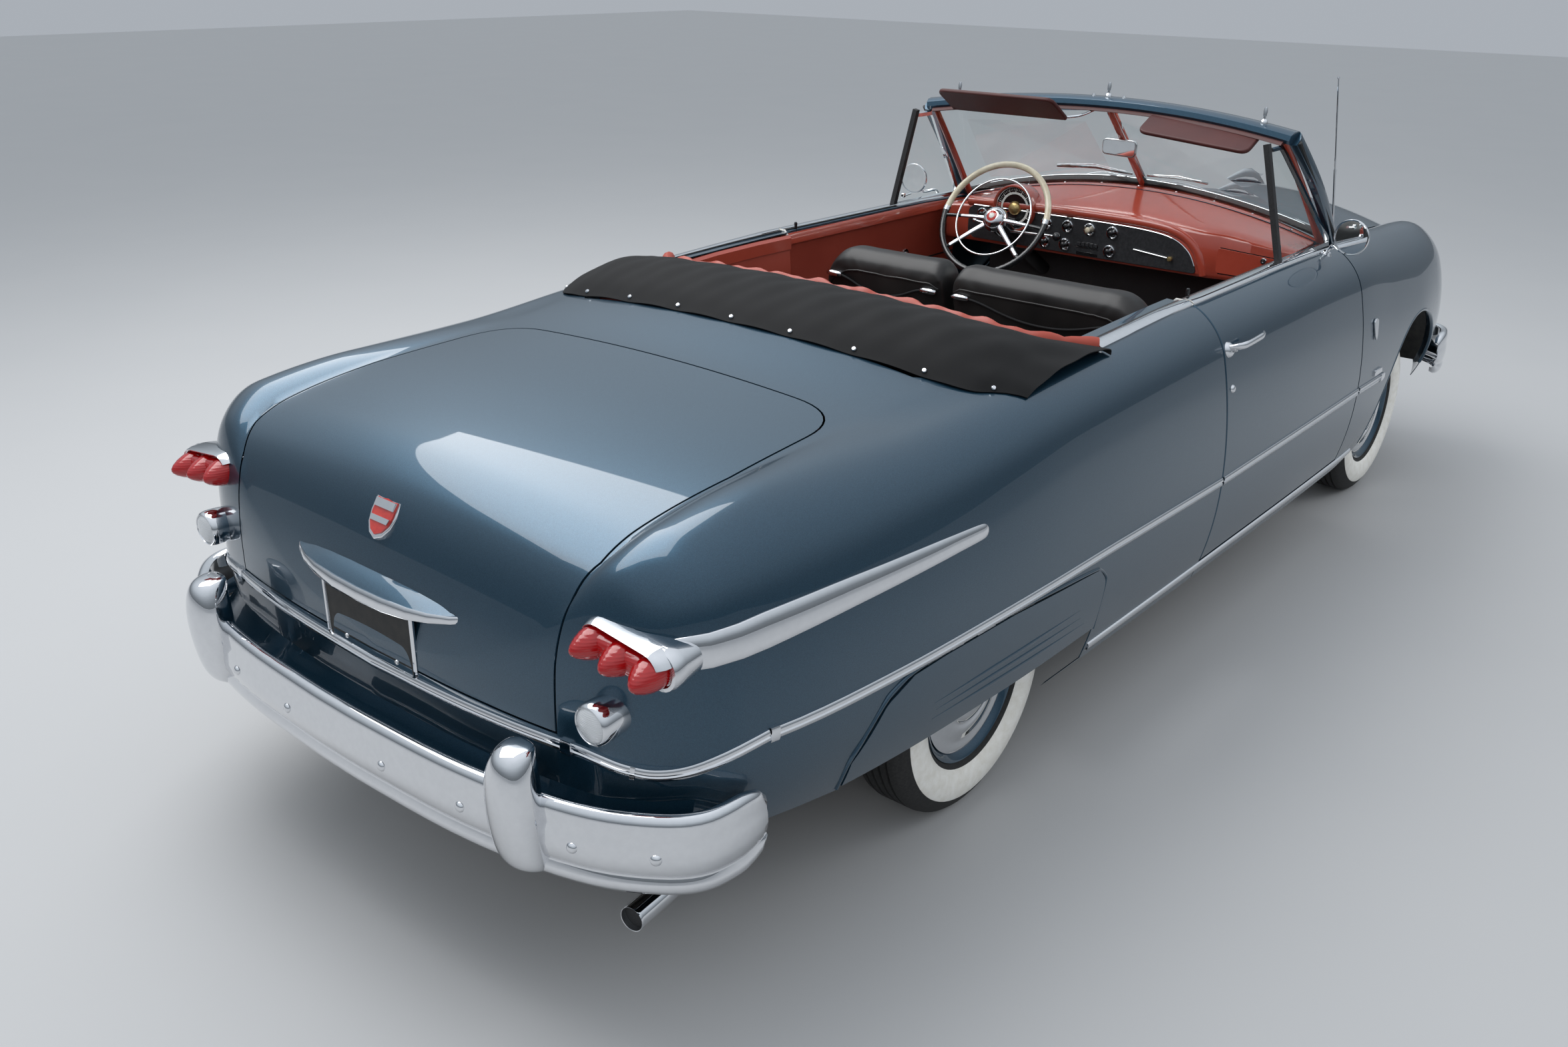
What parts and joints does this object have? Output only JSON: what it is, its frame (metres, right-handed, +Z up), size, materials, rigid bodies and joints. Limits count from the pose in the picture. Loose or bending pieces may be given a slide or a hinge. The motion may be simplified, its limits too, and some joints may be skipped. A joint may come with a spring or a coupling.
{
  "type": "two-door convertible car of the early 1950s",
  "caption": "Open two-door convertible car with folded top under a boot cover, opening doors, hood and trunk lid, steered front wheels and a split front bench.",
  "frame": {"origin": "on the ground under the middle of the car, halfway between the bumper faces", "axes": "+X forward, +Y to the car's left, +Z up"},
  "size_m": [4.989, 1.846, 1.6154],
  "materials": {
    "body_paint": "metallic blue, polished",
    "floor_carpet": "dark carpet over painted steel",
    "chrome_trim": "polished chrome",
    "lamp_glass": "ribbed clear lens in a chrome ring",
    "lamp_lens": "red and clear lenses in chrome",
    "frame_black": "black frame paint",
    "engine_iron": "painted iron",
    "tank_steel": "dark coated steel",
    "exhaust_steel": "dull steel with a chrome tip",
    "frame_trim": "blue and black frames with rubber",
    "clear_glass": "clear glass",
    "visor_vinyl": "dark red vinyl",
    "boot_fabric": "black coated cloth with red piping",
    "seat_vinyl": "black vinyl",
    "rear_seat_vinyl": "terracotta red vinyl",
    "cord_fabric": "black woven cord",
    "dash_paint": "terracotta red paint",
    "wheel_plastic": "ivory and black with chrome spokes",
    "tyre_rubber": "black with wide white side walls"
  },
  "bodies": {
    "body": {"front_fender_left": "body_paint", "front_fender_right": "body_paint", "cowl": "body_paint", "quarter_panel_left": "body_paint", "quarter_panel_right": "body_paint", "deck_panel": "body_paint", "rear_panel": "body_paint", "fender_skirts": "body_paint", "floor": "floor_carpet", "grille": "chrome_trim", "headlamps": "lamp_glass", "rear_lamps": "lamp_lens", "bumper_front": "chrome_trim", "bumper_rear": "chrome_trim", "chassis": "frame_black", "engine": "engine_iron", "rear_axle": "frame_black", "fuel_tank": "tank_steel", "exhaust": "exhaust_steel", "windshield_frame": "frame_trim", "windshield_glass": "clear_glass", "header_fittings": "visor_vinyl", "antenna": "chrome_trim", "boot_cover": "boot_fabric", "front_seat": "seat_vinyl", "rear_seat": "rear_seat_vinyl", "dash": "dash_paint", "steering_column": "dash_paint"},
    "hood": {"hood": "body_paint"},
    "trunk_lid": {"trunk_lid": "body_paint"},
    "door_left": {"door_left": "body_paint", "vent_window_left": "frame_trim", "mirror_left": "chrome_trim"},
    "door_right": {"door_right": "body_paint", "vent_window_right": "frame_trim", "mirror_right": "chrome_trim"},
    "seat_back_left": {"seat_back_left": "seat_vinyl", "assist_cord_left": "cord_fabric"},
    "seat_back_right": {"seat_back_right": "seat_vinyl", "assist_cord_right": "cord_fabric"},
    "knuckle_left": {"knuckle_left": "frame_black"},
    "knuckle_right": {"knuckle_right": "frame_black"},
    "steering_wheel": {"steering_wheel": "wheel_plastic"},
    "wheel_front_left": {"wheel_front_left": "chrome_trim", "tyre_front_left": "tyre_rubber"},
    "wheel_front_right": {"wheel_front_right": "chrome_trim", "tyre_front_right": "tyre_rubber"},
    "wheel_rear_left": {"wheel_rear_left": "chrome_trim", "tyre_rear_left": "tyre_rubber"},
    "wheel_rear_right": {"wheel_rear_right": "chrome_trim", "tyre_rear_right": "tyre_rubber"}
  },
  "joints": [
    {"name": "hood_hinge", "type": "hinge", "parent": "body", "child": "hood", "pos_m": [1.0895, 0, 1.196], "axis": [0, -1, 0], "range_deg": [0, 45]},
    {"name": "trunk_hinge", "type": "hinge", "parent": "body", "child": "trunk_lid", "pos_m": [-1.4975, 0, 1.086], "axis": [0, 1, 0], "range_deg": [0, 55]},
    {"name": "door_left_hinge", "type": "hinge", "parent": "body", "child": "door_left", "pos_m": [0.9695, 0.93, 0.7], "axis": [0, 0, -1], "range_deg": [0, 65]},
    {"name": "door_right_hinge", "type": "hinge", "parent": "body", "child": "door_right", "pos_m": [0.9695, -0.93, 0.7], "axis": [0, 0, 1], "range_deg": [0, 65]},
    {"name": "seat_back_left_fold", "type": "hinge", "parent": "body", "child": "seat_back_left", "pos_m": [0.118, 0.33, 0.65], "axis": [0, 1, 0], "range_deg": [0, 50]},
    {"name": "seat_back_right_fold", "type": "hinge", "parent": "body", "child": "seat_back_right", "pos_m": [0.118, -0.27, 0.65], "axis": [0, 1, 0], "range_deg": [0, 50]},
    {"name": "steer_left", "type": "hinge", "parent": "body", "child": "knuckle_left", "pos_m": [1.679, 0.64, 0.33], "axis": [0, 0, 1], "range_deg": [-28, 28]},
    {"name": "steer_right", "type": "hinge", "parent": "body", "child": "knuckle_right", "pos_m": [1.679, -0.64, 0.33], "axis": [0, 0, 1], "range_deg": [-28, 28]},
    {"name": "steering_wheel_turn", "type": "hinge", "parent": "body", "child": "steering_wheel", "pos_m": [0.666, 0.38, 1.063], "axis": [-0.848, 0, 0.5299], "range_deg": [-476, 476]},
    {"name": "roll_front_left", "type": "hinge", "parent": "knuckle_left", "child": "wheel_front_left", "pos_m": [1.679, 0.711, 0.33], "axis": [0, 1, 0], "continuous": true},
    {"name": "roll_front_right", "type": "hinge", "parent": "knuckle_right", "child": "wheel_front_right", "pos_m": [1.679, -0.711, 0.33], "axis": [0, 1, 0], "continuous": true},
    {"name": "roll_rear_left", "type": "hinge", "parent": "body", "child": "wheel_rear_left", "pos_m": [-1.217, 0.711, 0.33], "axis": [0, 1, 0], "continuous": true},
    {"name": "roll_rear_right", "type": "hinge", "parent": "body", "child": "wheel_rear_right", "pos_m": [-1.217, -0.711, 0.33], "axis": [0, 1, 0], "continuous": true}
  ],
  "couplings": [
    {"joint": "steer_right", "follows": "steer_left", "ratio": 1},
    {"joint": "steering_wheel_turn", "follows": "steer_left", "ratio": 17}
  ]
}
